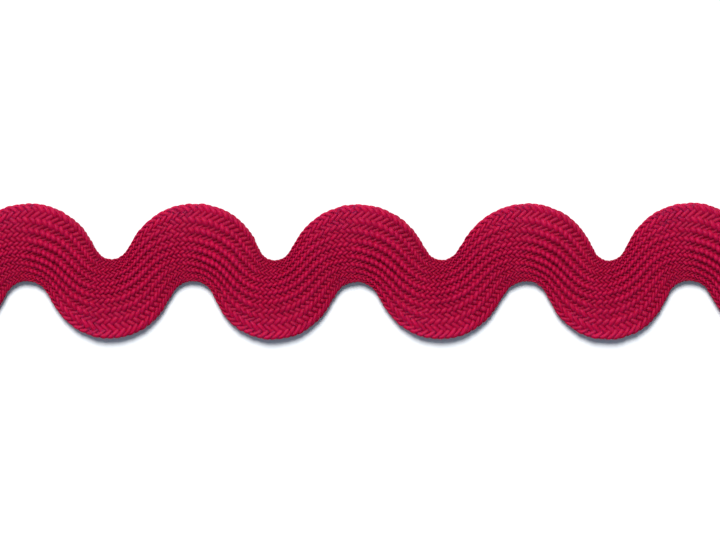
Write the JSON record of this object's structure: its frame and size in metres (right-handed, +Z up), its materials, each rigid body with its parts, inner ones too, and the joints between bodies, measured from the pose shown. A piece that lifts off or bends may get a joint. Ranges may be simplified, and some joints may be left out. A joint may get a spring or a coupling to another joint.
{
  "type": "ric rac trim, cut length",
  "caption": "Flat plaited ric rac braid in rounded side-to-side waves, ribbed along its length, cut plainly at both ends and lying flat.",
  "frame": {"origin": "middle of the length and width, on the surface that the braid lies on", "axes": "+X along the braid, +Y across it, +Z up out of its face"},
  "size_m": [0.0984, 0.0162, 0.0013],
  "materials": {
    "crimson_yarn": "matt plaited yarn with a faint sheen"
  },
  "bodies": {
    "root": {"ric_rac_braid": "crimson_yarn"}
  },
  "joints": []
}
